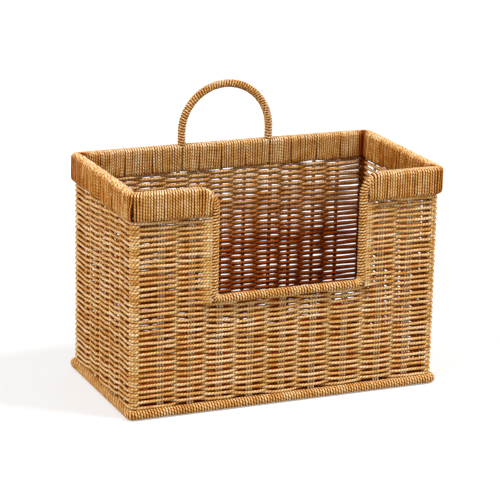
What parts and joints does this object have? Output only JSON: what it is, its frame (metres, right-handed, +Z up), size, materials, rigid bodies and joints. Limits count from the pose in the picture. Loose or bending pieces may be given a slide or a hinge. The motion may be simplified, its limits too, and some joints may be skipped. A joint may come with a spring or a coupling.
{
  "type": "wall basket",
  "caption": "Open rectangular basket of woven cane cord on a wire frame, with a wound rim, a deep front cut-out, a wound base hoop and a fixed hanging loop at the back.",
  "frame": {"origin": "middle of the footprint, on the surface that the basket stands on", "axes": "+X along the length, to the right when facing the cut-out; +Y from the cut-out to the back, which goes to the wall; +Z up"},
  "size_m": [0.31, 0.165, 0.27],
  "materials": {
    "cane_cord": "satin",
    "cane_stake": "satin",
    "frame_wire": "satin"
  },
  "bodies": {
    "root": {"back_stake_1": "cane_stake", "back_stake_10": "cane_stake", "back_stake_11": "cane_stake", "back_stake_2": "cane_stake", "back_stake_3": "cane_stake", "back_stake_4": "cane_stake", "back_stake_5": "cane_stake", "back_stake_6": "cane_stake", "back_stake_7": "cane_stake", "back_stake_8": "cane_stake", "back_stake_9": "cane_stake", "band_winding_back": "cane_cord", "band_winding_front_left": "cane_cord", "band_winding_front_right": "cane_cord", "band_winding_left": "cane_cord", "band_winding_right": "cane_cord", "band_wire": "frame_wire", "base_winding_back": "cane_cord", "base_winding_front": "cane_cord", "base_winding_left": "cane_cord", "base_winding_right": "cane_cord", "base_wire": "frame_wire", "corner_stake_back_left": "cane_stake", "corner_stake_back_right": "cane_stake", "corner_stake_front_left": "cane_stake", "corner_stake_front_right": "cane_stake", "jamb_winding_left": "cane_cord", "jamb_winding_right": "cane_cord", "left_stake_1": "cane_stake", "left_stake_2": "cane_stake", "left_stake_3": "cane_stake", "left_stake_4": "cane_stake", "left_stake_5": "cane_stake", "loop_rod": "frame_wire", "loop_winding": "cane_cord", "right_stake_1": "cane_stake", "right_stake_2": "cane_stake", "right_stake_3": "cane_stake", "right_stake_4": "cane_stake", "right_stake_5": "cane_stake", "rim_wire": "frame_wire", "sill_stake_1": "cane_stake", "sill_stake_2": "cane_stake", "sill_stake_3": "cane_stake", "sill_stake_4": "cane_stake", "sill_stake_5": "cane_stake", "sill_winding": "cane_cord", "wing_stake_left_1": "cane_stake", "wing_stake_left_2": "cane_stake", "wing_stake_right_1": "cane_stake", "wing_stake_right_2": "cane_stake", "woven_back": "cane_cord", "woven_floor": "cane_cord", "woven_front": "cane_cord", "woven_left": "cane_cord", "woven_right": "cane_cord", "woven_wing_left": "cane_cord", "woven_wing_right": "cane_cord"}
  },
  "joints": []
}
